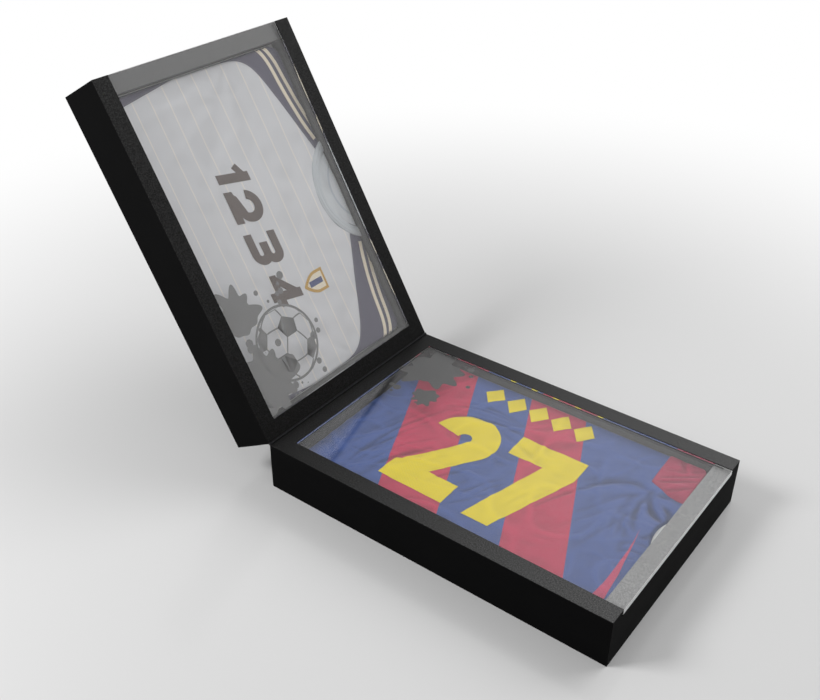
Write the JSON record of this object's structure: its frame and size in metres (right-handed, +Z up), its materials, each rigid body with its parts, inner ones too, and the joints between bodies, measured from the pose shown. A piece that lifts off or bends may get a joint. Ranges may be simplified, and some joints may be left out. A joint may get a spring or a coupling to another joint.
{
  "type": "jersey display frame",
  "caption": "Folding shadow-box display case: two black framed halves hinged like a book, each showing a folded sports shirt behind a thick clear panel that slides out at the free end.",
  "frame": {"origin": "middle of the base's underside", "axes": "+X from the hinge to the base's free end, +Y from the near side to the far side, +Z up"},
  "size_m": [1.1675, 0.494, 0.7239],
  "materials": {
    "rail_black": "satin",
    "dowel_wood": "matte",
    "cleat_wood": "matte",
    "back_board_black": "matte",
    "mount_board_white": "matte",
    "base_shirt_cloth": "matte",
    "lid_shirt_cloth": "matte",
    "panel_clear": "gloss",
    "hinge_black": "satin",
    "screw_black": "satin"
  },
  "bodies": {
    "base": {"base_near_rail": "rail_black", "base_far_rail": "rail_black", "base_hinge_rail": "rail_black", "base_end_rail": "rail_black", "base_corner_dowels": "dowel_wood", "base_back_board": "back_board_black", "base_back_screws": "screw_black", "base_near_cleat": "cleat_wood", "base_far_cleat": "cleat_wood", "base_hinge_cleat": "cleat_wood", "base_end_cleat": "cleat_wood", "base_mount_board": "mount_board_white", "base_shirt": "base_shirt_cloth", "hinge_leaf_base": "hinge_black", "hinge_pin": "hinge_black", "hinge_screws_base": "screw_black"},
    "lid": {"lid_near_rail": "rail_black", "lid_far_rail": "rail_black", "lid_hinge_rail": "rail_black", "lid_end_rail": "rail_black", "lid_corner_dowels": "dowel_wood", "lid_back_board": "back_board_black", "lid_back_screws": "screw_black", "lid_near_cleat": "cleat_wood", "lid_far_cleat": "cleat_wood", "lid_hinge_cleat": "cleat_wood", "lid_end_cleat": "cleat_wood", "lid_mount_board": "mount_board_white", "lid_shirt": "lid_shirt_cloth", "hinge_leaf_lid": "hinge_black", "hinge_screws_lid": "screw_black"},
    "base_cover": {"base_panel": "panel_clear"},
    "lid_cover": {"lid_panel": "panel_clear"}
  },
  "joints": [
    {"name": "lid_hinge", "type": "hinge", "parent": "base", "child": "lid", "pos_m": [-0.3605, 0, 0.1005], "axis": [0, -1, 0], "range_deg": [-120, 60]},
    {"name": "base_panel_slide", "type": "slide", "parent": "base", "child": "base_cover", "axis": [1, 0, 0], "range_m": [0, 0.7]},
    {"name": "lid_panel_slide", "type": "slide", "parent": "lid", "child": "lid_cover", "axis": [-0.5, 0, 0.866], "range_m": [0, 0.7]}
  ]
}
